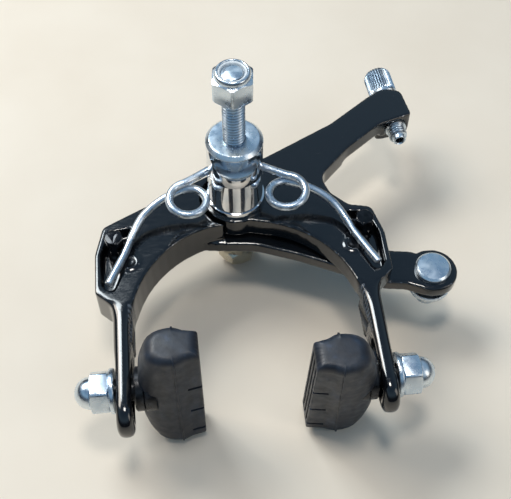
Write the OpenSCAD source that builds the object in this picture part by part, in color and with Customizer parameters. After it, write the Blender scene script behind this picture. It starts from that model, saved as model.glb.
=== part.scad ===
// Side-pull bicycle brake calliper: two forged arms on one pivot bolt, with a wire return spring.
// The frame has +Z along the pivot bolt toward the fork, -Y toward the brake pads, and its
// origin at the centre of the face that seats on the fork. All sizes are in millimetres.

/* [Pivot bolt] */
// Diameter of the pivot bolt's thread
bolt_d = 6; // [5.5:0.1:6.5]
// Bare thread between the fork seat and the mounting nut
fork_gap = 15.9; // [10:0.1:24]
// Width across the flats of the nuts on the pivot bolt
nut_af = 10; // [9.5:0.1:12]
// Height of the mounting nut
nut_h = 8.1; // [6:0.1:10]
// Turn of the mounting nut about its bolt, in degrees
nut_turn = 23.5; // [0:0.5:60]

/* [Fork seat] */
// Diameter of the seat washer
seat_d = 15.4; // [13:0.1:18]
// Thickness of the seat washer's flange
seat_t = 1.2; // [0.8:0.1:2]
// Diameter of the seat washer's collar
collar_d = 8.6; // [8:0.1:10]
// Height of the radius washer
radius_h = 10.9; // [9:0.1:14]
// Floor left under the radius washer's hollow
radius_floor = 3.2; // [2:0.1:5]
// Radius of the hollow for a round fork crown
hollow_r = 7; // [5:0.1:7.2]

/* [Spring block] */
// Diameter of the spring block
block_d = 15.2; // [13:0.1:18]
// Height of the spring block's plain part
block_h = 10.8; // [8:0.1:14]
// Diameter of the spring block's foot
foot_d = 16.2; // [14:0.1:17.4]
// Thickness of the spring block's foot
foot_h = 2.1; // [1:0.1:3]

/* [Return spring] */
// Diameter of the spring wire
wire_d = 2.3; // [1.8:0.1:2.6]
// Mean radius of each loop
loop_r = 5.2; // [4.6:0.1:5.6]
// Depth of the wire's centre below the top of the block
wire_drop = 1.8; // [1.5:0.1:3]

/* [Arms] */
// Thickness of the rear arm's boss and web
rear_t = 6.4; // [5:0.1:8]
// Thickness of the washer between the arms
between_t = 0.5; // [0.3:0.1:1]
// Thickness of the front arm's plate and limb
front_t = 3.8; // [3:0.1:5]
// Radius of the boss round the pivot
boss_r = 9; // [8.6:0.1:9.6]
// Distance from the middle plane to the inner face of each leg
leg_in = 30.7; // [28:0.1:34]
// Thickness of each leg
leg_t = 4.9; // [4:0.1:6]
// Width of each leg along the pivot bolt
leg_w = 11.8; // [10:0.1:13]
// Distance from the pivot to the legs' ends
leg_reach = 67.3; // [62:0.1:72]
// Width of the hook outside the leg
hook_w = 4.3; // [3:0.1:6]
// Thickness of the wall round the hook's pocket
hook_wall = 1.7; // [1.2:0.1:2.4]
// Depth of the pockets in the arms' rear faces
pocket_depth = 3.4; // [1.5:0.1:4]

/* [Pad slots] */
// Distance from the pivot to the middle of the pad slots
slot_mid = 54.5; // [50:0.1:58]
// Travel of a pad stud each way from the middle of its slot
slot_travel = 5; // [2:0.1:6]
// Distance from the pivot to the left pad stud
left_stud = 54.4; // [50:0.1:58]
// Distance from the pivot to the right pad stud
right_stud = 57.2; // [51:0.1:59]

/* [Barrel adjuster] */
// Diameter of the barrel's thread
barrel_d = 6.4; // [6:0.1:7]
// Diameter of the knurled knob
knob_d = 8.7; // [8:0.1:10]
// Length of the knurled knob
knob_len = 8.6; // [6:0.1:12]
// Number of ridges round the knob
knob_ridges = 24; // [16:1:32]
// Diameter of the seat for the cable housing
housing_d = 5.3; // [4.5:0.1:5.8]
// Diameter of the cable's way through the barrel
cable_way_d = 2.6; // [2:0.1:3]
// Length of thread that stands out of the head
barrel_tail = 4.6; // [2:0.1:8]
// Lean of the barrel from straight up, in degrees
barrel_lean = 4.6; // [0:0.1:8]

/* [Cable anchor] */
// Diameter of the anchor bolt's round head
anchor_head_d = 9.8; // [9:0.1:11]
// Thickness of the anchor bolt's head
anchor_head_h = 1.8; // [1.2:0.1:2.5]
// Diameter of the anchor bolt's shank
anchor_d = 6; // [5.5:0.1:6.5]
// Diameter of the cable hole across the anchor bolt
cable_hole_d = 2; // [1.6:0.1:2.4]
// Clamping gap left open for the cable
clamp_gap = 2.4; // [2.2:0.1:3]

/* [Brake pads] */
// Distance from the middle plane to each pad's braking face
pad_face = 13.7; // [12:0.1:16]
// Depth of the pad from its face to its moulding ridge
pad_front = 6.2; // [5:0.1:8]
// Depth of the pad from its moulding ridge to its back
pad_rear = 5.4; // [4:0.1:6]
// Length of the pad along the rim
pad_len = 42; // [36:0.5:50]
// Height of the pad at its moulding ridge
pad_h = 10.8; // [9:0.1:13]
// Height of the braking face
face_h = 7.4; // [6:0.1:9]

/* [Pad fasteners] */
// Diameter of the pad studs
stud_d = 6; // [5.5:0.1:6.2]
// Thickness of the inner pad washers
inner_washer_t = 2.6; // [1.5:0.1:2.8]
// Diameter of the inner pad washers
inner_washer_d = 11.4; // [10:0.1:11.8]
// Thickness of the outer pad washers
outer_washer_t = 1.3; // [1:0.1:2]
// Diameter of the outer pad washers
outer_washer_d = 11.6; // [10.5:0.1:12]
// Height of the cap nuts' hexagon
cap_hex_h = 4.8; // [4:0.1:6]
// Height of the cap nuts' dome
cap_dome_h = 4.2; // [3:0.1:5]

/* [Hidden] */
$fn = 64;

// Clearances: side play between faces that turn on each other, and round a turning shank
side_gap = 0.05;
run_gap = 0.05;
slot_gap = 0.15;
eps = 0.01;

// Levels along the pivot bolt, from the fork seat down to the front
radius_top = -seat_t;
hollow_z = radius_top - radius_h + radius_floor + hollow_r;
block_top = radius_top - radius_h;
collar_low = block_top + radius_floor / 2;
foot_top = block_top - block_h;
block_bottom = foot_top - foot_h;
rear_top = block_bottom - side_gap;
rear_bottom = rear_top - rear_t;
between_top = rear_bottom - side_gap;
front_top = between_top - between_t - side_gap;
front_bottom = front_top - front_t;
front_washer_t = 1;
adjusting_h = 5.6;
lock_h = 4.4;
front_cap_h = 6.6;
washer_bottom = front_bottom - side_gap - front_washer_t;
adjusting_bottom = washer_bottom - adjusting_h;
lock_bottom = adjusting_bottom - lock_h;
bolt_front = lock_bottom - front_cap_h + 1.6;
bolt_rear = fork_gap + nut_h - 0.5;
bolt_r = bolt_d / 2;
washer_d = nut_af + 3;

// Places in the plan of the arms, for the right side; the left side is mirrored
leg_out = leg_in + leg_t;
arch_y = -(leg_reach - 27.9);
hook_out = leg_out + hook_w;
hook_top_y = -7;
hook_low_y = -28.4;
leg_top_y = -32.4;
leg_mid_z = rear_top - leg_w / 2;
leg_low_z = rear_top - leg_w;
plate_boss_r = boss_r + 0.5;
boss_room = 1.2;
post_xy = [hook_out - 5.6, -13.8];
stop_xy = [hook_out - 9.4, -19.4];
post_d = 3;
anchor_xy = [52.4, -25.6];
anchor_end_r = 6.9;
barrel_xy = [50.9, 31];
barrel_z = rear_top - 4.6;
head_low = rear_top - 9;
head_half = 6.4;

function unit(v) = v / norm(v);

// Arc that rounds corner b between a and c with radius r, as points
function corner(a, b, c, r, n = 5) =
    let (u = unit(a - b), w = unit(c - b), half = acos(max(-1, min(1, u * w))) / 2,
         mid = b + unit(u + w) * r / sin(half), from = b + u * r / tan(half) - mid,
         to = b + w * r / tan(half) - mid, a0 = atan2(from[1], from[0]),
         turn = (atan2(to[1], to[0]) - a0 + 540) % 360 - 180)
    [for (i = [0:n]) mid + r * [cos(a0 + turn * i / n), sin(a0 + turn * i / n)]];

// Outline from corners [x, y, r]; r is the corner's radius, and 0 leaves it sharp
function rounded(p) = [for (i = [0:len(p) - 1])
    let (a = p[(i + len(p) - 1) % len(p)], b = p[i], c = p[(i + 1) % len(p)])
    each (b[2] > 0 ? corner([a[0], a[1]], [b[0], b[1]], [c[0], c[1]], b[2]) : [[b[0], b[1]]])];

// Hook and leg with the tyre arch, down the outside and back up the inside
hook_and_leg = concat(
    [[hook_out - 2.2, hook_top_y, 2.6], [hook_out, hook_top_y - 9, 8],
     [hook_out, hook_low_y, 1.6], [leg_out, leg_top_y, 2], [leg_out, -leg_reach, 0],
     [leg_in, -leg_reach, 0]],
    [for (a = [0:6:72]) [leg_in * cos(a), arch_y + leg_in * sin(a), 0]]);

// Rear arm in plan: boss, long limb to the barrel, notch, hook, leg and arch
rear_outline = concat(
    [[-4.4, boss_r - 1.1, 0], [10, 14, 6], [31, 25.2, 10],
     [barrel_xy[0] - 7.2, barrel_xy[1] + 3.8, 5], [barrel_xy[0] - 2, barrel_xy[1] + head_half + 0.4, 3],
     [barrel_xy[0] + 3.6, barrel_xy[1] + head_half - 0.6, 2.4],
     [barrel_xy[0] + 5.1, barrel_xy[1] - head_half + 2, 1], [barrel_xy[0] - 5.4, barrel_xy[1] - 7.6, 8],
     [34.6, 15, 10], [25, 5.2, 4.5], [27, -1, 3.5], [31.4, -5.6, 4]],
    hook_and_leg, [[3, 0.5 - boss_r, 0]]);

// Raised half of the front arm in plan
front_outline = concat([[0, plate_boss_r, 0], [6, 9.4, 0]], hook_and_leg, [[4, -plate_boss_r, 0]]);

// Front arm's plate in plan: from the raised half, past the boss, to the cable anchor
plate_outline = [[-12, -9, 0], [-9, -10.6, 2], [-4, -11.2, 6], [4.6, -12.2, 14], [16.4, -16.9, 30],
    [38.6, -27.8, 20], [anchor_xy[0] - 3, anchor_xy[1] - anchor_end_r + 0.6, 10],
    [anchor_xy[0] - 1, anchor_xy[1], 0], [anchor_xy[0] + 0.4, anchor_xy[1] + anchor_end_r - 0.1, 6],
    [42, -18.2, 16], [14, -3, 12], [6, 7.4, 3], [-4, 9, 3], [-12, 6.5, 0]];

// Pocket inside the hook, where the spring's post stands
hook_pocket = [[29.4, -7.9, 1], [hook_out - 2.2 - hook_wall, hook_top_y - 1.8, 1.6],
    [hook_out - hook_wall, hook_top_y - 9.2, 5], [hook_out - hook_wall, hook_low_y + 2.6, 1.2],
    [hook_out - 4.4, hook_low_y - 1, 1.4], [stop_xy[0] + 3.2, stop_xy[1] - 5, 3],
    [stop_xy[0] + 0.4, stop_xy[1] + 4.2, 4]];

// Shallow pocket in the web between the boss and the hook
web_pocket = [[12.6, -1.4, 2], [24.4, -5.4, 3], [25.4, -13, 3], [17.6, -10.2, 4], [13, -7.6, 2]];

// Spring's route on the right side: behind the bolt, one loop, then out to the hook
wire_r = wire_d / 2;
wire_z = block_top - wire_drop;
back_y = bolt_r + wire_r + 0.35;
exit_y = 0.6;
exit_x = block_d / 2;
// Centre and radius of the arc that passes behind the bolt and leaves the block at its side
bend_y = (exit_x * exit_x + exit_y * exit_y - back_y * back_y) / (2 * (exit_y - back_y));
bend_r = back_y - bend_y;
loop_xy = [exit_x + wire_r + loop_r - 0.35, -loop_r - 2];
loop_pitch = wire_d + 0.35;
loop_start = 88;
loop_turn = 368;
function loop_at(a) = [loop_xy[0] + loop_r * cos(loop_start - a), loop_xy[1] + loop_r * sin(loop_start - a),
    wire_z - loop_pitch * a / loop_turn];
wire_low = rear_top + wire_r + 0.55;
arm_knots = [loop_at(loop_turn - 24), loop_at(loop_turn), [21.2, -3.9, wire_z - 4.4],
    [26.2, -7.9, wire_z - 6.6], [29.5, -13, wire_low + 0.9],
    [stop_xy[0] + 1.3, stop_xy[1] + 1, wire_low + 0.3], [hook_out - 3.8, hook_low_y + 1.2, wire_low],
    [hook_out - 1, hook_low_y - 4.8, wire_low]];

// Point on a smooth curve through four knots, t from 0 to 1 between the middle two
function curve(a, b, c, d, t) = 0.5 * (2 * b + (c - a) * t + (2 * a - 5 * b + 4 * c - d) * t * t
    + (3 * b - a - 3 * c + d) * t * t * t);
route = concat(
    [for (a = [0:14:50]) [bend_r * sin(a), bend_y + bend_r * cos(a), wire_z]],
    [for (a = [0:loop_turn / 26:loop_turn - 1]) loop_at(a)],
    [for (k = [1:len(arm_knots) - 3], t = [0:0.34:0.99])
        curve(arm_knots[k - 1], arm_knots[k], arm_knots[k + 1], arm_knots[k + 2], t)],
    [arm_knots[len(arm_knots) - 2]]);
wire_route = concat([for (i = [len(route) - 1:-1:1]) [-route[i][0], route[i][1], route[i][2]]], route);

// Tube of radius r with n sides along a list of points
module tube(path, r, n = 10) {
    last = len(path) - 1;
    rings = [for (i = [0:last])
        let (t = unit(path[min(i + 1, last)] - path[max(i - 1, 0)]), s = unit(cross(t, [0, 0, 1])),
             u = cross(s, t))
        for (k = [0:n - 1]) path[i] + r * (cos(360 * k / n) * s + sin(360 * k / n) * u)];
    sides = [for (i = [0:last - 1], k = [0:n - 1])
        let (a = i * n + k, b = i * n + (k + 1) % n) each [[a, b, b + n], [a, b + n, a + n]]];
    ends = [[for (k = [n - 1:-1:0]) k], [for (k = [0:n - 1]) last * n + k]];
    polyhedron(points = rings, faces = concat(sides, ends));
}

// Hexagon nut from z = 0 up, with both rims chamfered
module hex_nut(af, h, bore_d, cut = 0.7) {
    r = af / 2 / cos(30);
    difference() {
        intersection() {
            cylinder(h = h, r = r, $fn = 6);
            rotate_extrude() polygon([[0, 0], [af / 2 - 0.1, 0], [r, cut], [r, h - cut],
                [af / 2 - 0.1, h], [0, h]]);
        }
        translate([0, 0, -1]) cylinder(h = h + 2, d = bore_d);
    }
}

// Cap nut from z = 0 up: hexagon, dome and a blind bore
module cap_nut(af, hex_h, dome_h, bore_d, bore_h) {
    dome_r = af / 2 - 0.4;
    difference() {
        union() {
            hex_nut(af, hex_h, 0.1);
            cylinder(h = hex_h, r = af / 4);
            translate([0, 0, hex_h]) rotate_extrude()
                polygon(concat([[0, 0]], [for (a = [0:10:90]) [dome_r * cos(a), dome_h * sin(a)]]));
        }
        translate([0, 0, -1]) cylinder(h = bore_h + 1, d = bore_d);
    }
}

module washer(d, h, bore_d, cut = 0.2) {
    rotate_extrude() polygon([[bore_d / 2, 0], [d / 2 - cut, 0], [d / 2, cut], [d / 2, h - cut],
        [d / 2 - cut, h], [bore_d / 2, h]]);
}

module pivot_bolt() {
    color("silver") translate([0, 0, bolt_front]) rotate_extrude()
        polygon([[0, 0], [bolt_r - 0.6, 0], [bolt_r, 0.6], [bolt_r, bolt_rear - bolt_front - 0.6],
            [bolt_r - 0.6, bolt_rear - bolt_front], [0, bolt_rear - bolt_front]]);
}

// The nut's top is a round collar that holds the locking ring
nut_collar_h = 1.5;
ring_r = 4;
ring_h = 1.8;
module mounting_nut() {
    color("lightsteelblue") translate([0, 0, fork_gap]) rotate([0, 0, nut_turn]) difference() {
        union() {
            hex_nut(nut_af, nut_h - nut_collar_h, bolt_d, 0.8);
            translate([0, 0, nut_h - nut_collar_h - 0.8]) rotate_extrude()
                polygon([[bolt_r, 0], [nut_af / 2 - 0.3, 0], [nut_af / 2 - 0.3, 0.8 + nut_collar_h - 0.9],
                    [nut_af / 2 - 0.7, 0.8 + nut_collar_h - 0.3], [nut_af / 2 - 1.1, 0.8 + nut_collar_h],
                    [bolt_r, 0.8 + nut_collar_h]]);
        }
        translate([0, 0, nut_h - 0.3 - ring_h]) cylinder(h = ring_h + 1, r = ring_r);
    }
}

module nut_locking_ring() {
    color("whitesmoke") translate([0, 0, fork_gap + nut_h - 0.3 - ring_h])
        washer(2 * ring_r, ring_h, bolt_d);
}

module seat_washer() {
    color("lightsteelblue") rotate_extrude()
        polygon([[bolt_r, 0], [seat_d / 2 - 1, 0], [seat_d / 2, -seat_t * 0.8], [seat_d / 2, -seat_t],
            [collar_d / 2, -seat_t], [collar_d / 2, collar_low], [bolt_r, collar_low]]);
}

module radius_washer() {
    color("silver") difference() {
        translate([0, 0, block_top]) cylinder(h = radius_h, d = block_d);
        translate([0, 0, hollow_z]) rotate([90, 0, 0]) cylinder(h = block_d + 2, r = hollow_r, center = true);
        translate([-hollow_r, -block_d, hollow_z]) cube([2 * hollow_r, 2 * block_d, hollow_r + 4]);
        translate([0, 0, block_top - 1]) cylinder(h = radius_h + 2, d = bolt_d);
        translate([0, 0, collar_low]) cylinder(h = radius_h, d = collar_d);
    }
}

module spring_block() {
    color("silver") difference() {
        union() {
            translate([0, 0, foot_top]) cylinder(h = block_h, d = block_d);
            translate([0, 0, block_bottom]) cylinder(h = foot_h, d = foot_d);
        }
        translate([0, 0, block_bottom - 1]) cylinder(h = block_h + foot_h + 2, d = bolt_d);
        // Groove that the spring's middle lies in, open at the block's top
        translate([0, bend_y, wire_z]) {
            rotate_extrude() translate([bend_r, 0]) circle(r = wire_r + 0.1);
            rotate_extrude() translate([bend_r - wire_r - 0.1, 0])
                square([wire_d + 0.2, wire_drop + 1]);
        }
    }
}

module return_spring() {
    color("lightsteelblue") tube(wire_route, wire_r);
}

// Leg's side view along X: web of the given underside, then the deeper leg with a round end
module side_profile(underside) {
    rotate([90, 0, 90]) translate([0, 0, -60]) linear_extrude(height = 160) {
        polygon([[60, rear_top], [60, underside], [leg_top_y - 1.4, underside],
            [leg_top_y - 5, leg_low_z], [leg_w / 2 - leg_reach, leg_low_z],
            [leg_w / 2 - leg_reach, rear_top]]);
        translate([leg_w / 2 - leg_reach, leg_mid_z]) circle(d = leg_w);
    }
}

// What is cut from every leg and hook: pad slot, pockets and the spring post's hole
module side_cuts() {
    slot_r = stud_d / 2 + slot_gap;
    translate([leg_in - 1, -slot_mid, leg_mid_z]) {
        for (s = [-1, 1]) translate([0, s * slot_travel, 0]) rotate([0, 90, 0])
            cylinder(h = leg_t + 2, r = slot_r);
        translate([0, -slot_travel, -slot_r]) cube([leg_t + 2, 2 * slot_travel, 2 * slot_r]);
    }
    translate([0, 0, rear_top - pocket_depth]) linear_extrude(height = pocket_depth + 1)
        polygon(rounded(hook_pocket));
    translate([0, 0, rear_top - pocket_depth / 2]) linear_extrude(height = pocket_depth)
        polygon(rounded(web_pocket));
    translate([post_xy[0], post_xy[1], front_bottom - 1]) cylinder(h = 20, d = post_d);
}

// Low round stop with a dished top, which the spring passes over
module spring_stop() {
    stop_h = pocket_depth + 0.35;
    translate([stop_xy[0], stop_xy[1], rear_top - pocket_depth]) rotate_extrude()
        polygon([[0, -eps], [2.9, -eps], [2.9, stop_h - 0.5], [2.4, stop_h], [1.9, stop_h], [1, stop_h - 0.6],
            [0, stop_h - 0.8]]);
}

module rear_arm() {
    color([0.05, 0.05, 0.07]) difference() {
        union() {
            difference() {
                intersection() {
                    union() {
                        translate([0, 0, leg_low_z - 2]) linear_extrude(height = leg_w + 2)
                            polygon(rounded(rear_outline));
                        translate([0, 0, rear_bottom]) cylinder(h = rear_t, r = boss_r);
                    }
                    side_profile(rear_bottom);
                }
                side_cuts();
                // Thinner middle of the long limb
                translate([0, 0, rear_bottom - 1]) linear_extrude(height = 2.4)
                    polygon([[22, 8], [12, 18], [barrel_xy[0] - 8, barrel_xy[1] + 8],
                        [barrel_xy[0] - 4, barrel_xy[1] - 10]]);
            }
            spring_stop();
            // Head that the barrel is screwed through
            translate([0, 0, head_low]) linear_extrude(height = rear_top - head_low)
                polygon(rounded([[barrel_xy[0] - 5.6, barrel_xy[1] - head_half, 1.5],
                    [barrel_xy[0] - 6, barrel_xy[1] + 4, 3], [barrel_xy[0] - 2, barrel_xy[1] + head_half + 0.2, 2],
                    [barrel_xy[0] + 3.4, barrel_xy[1] + head_half - 0.7, 2.4],
                    [barrel_xy[0] + 4.9, barrel_xy[1] - head_half + 1.8, 1]]));
        }
        translate([0, 0, rear_bottom - 1]) cylinder(h = rear_t + 2, r = bolt_r + run_gap);
        on_barrel() translate([0, 0, -20]) cylinder(h = 40, r = barrel_d / 2 + run_gap);
    }
}

module front_arm() {
    color([0.05, 0.05, 0.07]) difference() {
        union() {
            mirror([1, 0, 0]) difference() {
                union() {
                    difference() {
                        intersection() {
                            translate([0, 0, leg_low_z - 2]) linear_extrude(height = leg_w + 2)
                                polygon(rounded(front_outline));
                            side_profile(front_bottom);
                        }
                        side_cuts();
                    }
                    spring_stop();
                }
                // Room for the rear arm's boss
                translate([0, 0, front_top]) cylinder(h = 20, r = boss_r + boss_room);
            }
            translate([0, 0, front_bottom]) linear_extrude(height = front_t) polygon(rounded(plate_outline));
            translate([0, 0, front_bottom]) cylinder(h = front_t, r = plate_boss_r);
            translate([anchor_xy[0], anchor_xy[1], front_bottom]) cylinder(h = front_t, r = anchor_end_r);
        }
        translate([0, 0, front_bottom - 1]) cylinder(h = front_t + 2, r = bolt_r + run_gap);
        translate([anchor_xy[0], anchor_xy[1], front_bottom - 1])
            cylinder(h = front_t + 2, r = anchor_d / 2 + run_gap);
    }
}

module arm_washer() {
    color("goldenrod") translate([0, 0, between_top - between_t]) washer(2 * boss_r - 3, between_t, bolt_d, 0.1);
}

module front_washer() {
    color("lightsteelblue") translate([0, 0, washer_bottom]) washer(washer_d, front_washer_t, bolt_d);
}

module adjusting_nut() {
    color("wheat") translate([0, 0, adjusting_bottom]) rotate([0, 0, 8]) hex_nut(nut_af, adjusting_h, bolt_d);
}

module lock_nut() {
    color("wheat") translate([0, 0, lock_bottom]) rotate([0, 0, 40]) hex_nut(nut_af, lock_h, bolt_d);
}

module front_cap_nut() {
    color("wheat") translate([0, 0, lock_bottom]) mirror([0, 0, 1]) rotate([0, 0, 11])
        cap_nut(nut_af, front_cap_h - 2, 2, bolt_d, lock_bottom - bolt_front);
}

// Screwed into the pocket's floor, with a flange, a neck and a hexagon head
module spring_post() {
    floor_z = rear_top - pocket_depth;
    translate([post_xy[0], post_xy[1], 0]) {
        translate([0, 0, floor_z - 2.2]) cylinder(h = 2.2, d = post_d);
        translate([0, 0, floor_z]) rotate_extrude()
            polygon([[0, 0], [2.6, 0], [2.6, 0.8], [1.9, 1.5], [1.9, 4], [0, 4]]);
        translate([0, 0, floor_z + 3.8]) rotate([0, 0, 12]) hex_nut(4.6, 4, 0.1, 0.3);
        translate([0, 0, floor_z + 3.8]) cylinder(h = 3.6, d = 2);
    }
}

module left_spring_post() {
    color([0.06, 0.06, 0.07]) mirror([1, 0, 0]) spring_post();
}

module right_spring_post() {
    color([0.06, 0.06, 0.07]) spring_post();
}

// Local frame of the barrel: +Z runs up the barrel, toward the cable housing
module on_barrel() {
    translate([barrel_xy[0], barrel_xy[1], barrel_z]) rotate([0, 0, barrel_lean]) rotate([-90, 0, 0])
        children();
}

module barrel_adjuster() {
    tail = -head_half - barrel_tail;
    seat = head_half + 0.5;
    collar_h = 1.4;
    top = seat + collar_h + knob_len;
    color("lightsteelblue") on_barrel() difference() {
        union() {
            translate([0, 0, tail]) rotate_extrude() polygon([[0, 0], [barrel_d / 2 - 0.5, 0],
                [barrel_d / 2, 0.5], [barrel_d / 2, seat - tail], [knob_d / 2 + 0.1, seat - tail],
                [knob_d / 2 + 0.1, seat - tail + collar_h], [0, seat - tail + collar_h]]);
            translate([0, 0, seat + collar_h - 0.4]) linear_extrude(height = knob_len + 0.4)
                polygon([for (i = [0:2 * knob_ridges - 1])
                    (knob_d / 2 - (i % 2) * 0.45) * [cos(180 * i / knob_ridges), sin(180 * i / knob_ridges)]]);
        }
        translate([0, 0, tail - 1]) cylinder(h = top - tail + 2, d = cable_way_d);
        translate([0, 0, top - 7]) cylinder(h = 8, d = housing_d);
    }
}

// Level of the cable hole, between the front arm and the anchor washer
anchor_washer_t = 1.5;
anchor_nut_h = 5;
cable_z = front_bottom - clamp_gap / 2;
anchor_washer_z = front_bottom - clamp_gap - anchor_washer_t;
anchor_nut_z = anchor_washer_z - anchor_nut_h;
module anchor_bolt() {
    shank_low = anchor_nut_z - 1;
    color("lightsteelblue") translate([anchor_xy[0], anchor_xy[1], 0]) difference() {
        translate([0, 0, shank_low]) rotate_extrude() polygon([[0, 0], [anchor_d / 2 - 0.5, 0],
            [anchor_d / 2, 0.5], [anchor_d / 2, front_top + side_gap - shank_low],
            [anchor_head_d / 2, front_top + side_gap - shank_low],
            [anchor_head_d / 2, front_top + anchor_head_h - 0.6 - shank_low],
            [anchor_head_d / 2 - 0.6, front_top + anchor_head_h - 0.1 - shank_low],
            [0, front_top + anchor_head_h - shank_low]]);
        translate([0, 0, cable_z]) rotate([90, 0, 0])
            cylinder(h = anchor_d + 4, d = cable_hole_d, center = true);
    }
}

module anchor_washer() {
    color("lightsteelblue") translate([anchor_xy[0], anchor_xy[1], anchor_washer_z])
        washer(12, anchor_washer_t, anchor_d);
}

module anchor_nut() {
    color("lightsteelblue") translate([anchor_xy[0], anchor_xy[1], anchor_nut_z]) rotate([0, 0, 15])
        hex_nut(nut_af, anchor_nut_h, anchor_d);
}

// Levels across a pad, from the middle plane outward
ridge_x = pad_face + pad_front;
back_x = ridge_x + pad_rear;
plate_x = leg_in - inner_washer_t - side_gap;
outer_x = leg_out + side_gap;
cap_x = outer_x + outer_washer_t;

// Local frame of a right-hand pad: +Z runs outward across the rim, +Y up the pad's height
module on_pad(stud_y) {
    translate([0, -stud_y, leg_mid_z]) rotate([0, 90, 0]) children();
}

// Rubber block: a plan, a length profile and an end profile, all met in one body
module pad_rubber(stud_y) {
    groove = 0.9;
    half = pad_len / 2;
    color([0.13, 0.13, 0.15]) on_pad(stud_y) difference() {
        intersection() {
            translate([0, 0, pad_face]) linear_extrude(height = back_x - pad_face)
                polygon(rounded([[-half, -pad_h / 2, 3], [half, -pad_h / 2, 3], [half, pad_h / 2, 3],
                    [-half, pad_h / 2, 3]]));
            rotate([90, 0, 0]) linear_extrude(height = 40, center = true)
                polygon([[2 - half, pad_face], [half - 2, pad_face], [half, ridge_x],
                    [half - 3.5, back_x], [3.5 - half, back_x], [-half, ridge_x]]);
            rotate([0, -90, 0]) linear_extrude(height = pad_len + 2, center = true)
                polygon([[pad_face, -face_h / 2], [ridge_x, -pad_h / 2], [back_x, 1.4 - pad_h / 2],
                    [back_x, pad_h / 2 - 1.4], [ridge_x, pad_h / 2], [pad_face, face_h / 2]]);
        }
        // Slots across the lower half of the face, and grooves along it
        for (i = [0:2]) translate([3 + 5.2 * i, -pad_h / 2 - 1, pad_face - 1])
            cube([groove, pad_h / 2 + 0.6, 4]);
        for (j = [-1:1]) translate([-pad_len / 2 - 1, j * 2.2 - groove / 2, pad_face - 1])
            cube([pad_len + 2, groove, 1.9]);
        translate([0, 0, back_x - 3]) cylinder(h = 4, d = 9.6);
    }
}

// Moulded-in head, back plate and threaded shank of a pad
module pad_stud(stud_y) {
    tip = cap_x + cap_hex_h + 1.4;
    color([0.1, 0.1, 0.11]) on_pad(stud_y) translate([0, 0, back_x - 3]) rotate_extrude()
        polygon([[0, 0], [4.8, 0], [4.8, 3], [5.8, 3], [5.8, plate_x - back_x + 3],
            [stud_d / 2, plate_x - back_x + 3], [stud_d / 2, tip - back_x + 2.5],
            [stud_d / 2 - 0.5, tip - back_x + 3], [0, tip - back_x + 3]]);
}

module inner_washer(stud_y) {
    color([0.1, 0.1, 0.11]) on_pad(stud_y) translate([0, 0, plate_x])
        washer(inner_washer_d, inner_washer_t, stud_d, 0.4);
}

module outer_washer(stud_y) {
    color("lightsteelblue") on_pad(stud_y) translate([0, 0, outer_x])
        washer(outer_washer_d, outer_washer_t, stud_d);
}

module pad_cap_nut(stud_y) {
    color("lightsteelblue") on_pad(stud_y) translate([0, 0, cap_x]) rotate([0, 0, 34])
        cap_nut(nut_af, cap_hex_h, cap_dome_h, stud_d, cap_hex_h + 1.6);
}

module left() {
    mirror([1, 0, 0]) children();
}

pivot_bolt();
mounting_nut();
nut_locking_ring();
seat_washer();
radius_washer();
spring_block();
return_spring();
rear_arm();
front_arm();
arm_washer();
front_washer();
adjusting_nut();
lock_nut();
front_cap_nut();
left_spring_post();
right_spring_post();
barrel_adjuster();
anchor_bolt();
anchor_washer();
anchor_nut();
left() pad_rubber(left_stud);  // left_pad
left() pad_stud(left_stud);  // left_pad_stud
left() inner_washer(left_stud);  // left_inner_washer
left() outer_washer(left_stud);  // left_outer_washer
left() pad_cap_nut(left_stud);  // left_cap_nut
pad_rubber(right_stud);  // right_pad
pad_stud(right_stud);  // right_pad_stud
inner_washer(right_stud);  // right_inner_washer
outer_washer(right_stud);  // right_outer_washer
pad_cap_nut(right_stud);  // right_cap_nut
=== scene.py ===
"""Looks of a side-pull bicycle brake calliper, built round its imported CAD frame.

The calliper stands on its front nut, as it was photographed: pivot bolt upright, brake pads
toward the camera. Lengths in this file are millimetres unless a name ends in _m; they become
Blender's metres where a mesh is made. +Z runs up the pivot bolt toward the fork.
"""

import logging
import math
from dataclasses import dataclass
from enum import Enum

import bmesh
import bpy
import numpy as np
from mathutils import Matrix, Vector


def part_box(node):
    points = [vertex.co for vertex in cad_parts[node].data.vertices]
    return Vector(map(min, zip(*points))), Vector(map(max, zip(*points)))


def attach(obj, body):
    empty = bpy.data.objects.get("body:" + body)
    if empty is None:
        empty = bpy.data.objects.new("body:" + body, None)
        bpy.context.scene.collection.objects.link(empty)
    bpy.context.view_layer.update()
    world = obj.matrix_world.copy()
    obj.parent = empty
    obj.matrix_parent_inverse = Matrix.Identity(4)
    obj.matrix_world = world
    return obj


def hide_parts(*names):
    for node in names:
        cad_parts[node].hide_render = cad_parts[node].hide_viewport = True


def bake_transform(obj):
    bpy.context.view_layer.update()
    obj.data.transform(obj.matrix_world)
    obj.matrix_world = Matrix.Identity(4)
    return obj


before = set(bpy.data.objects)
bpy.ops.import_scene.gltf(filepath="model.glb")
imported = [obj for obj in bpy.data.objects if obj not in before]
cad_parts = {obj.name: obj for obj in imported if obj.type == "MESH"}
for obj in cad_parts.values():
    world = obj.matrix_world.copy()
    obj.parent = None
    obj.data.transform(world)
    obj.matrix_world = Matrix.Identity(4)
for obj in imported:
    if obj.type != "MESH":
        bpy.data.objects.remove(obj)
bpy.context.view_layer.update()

LOG = logging.getLogger("calliper")
MM = 0.001
# A noise's Scale is PER_M over the real size of its main features in millimetres
PER_M = 1000
IMAGE_SIZE = (511, 499)


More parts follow.
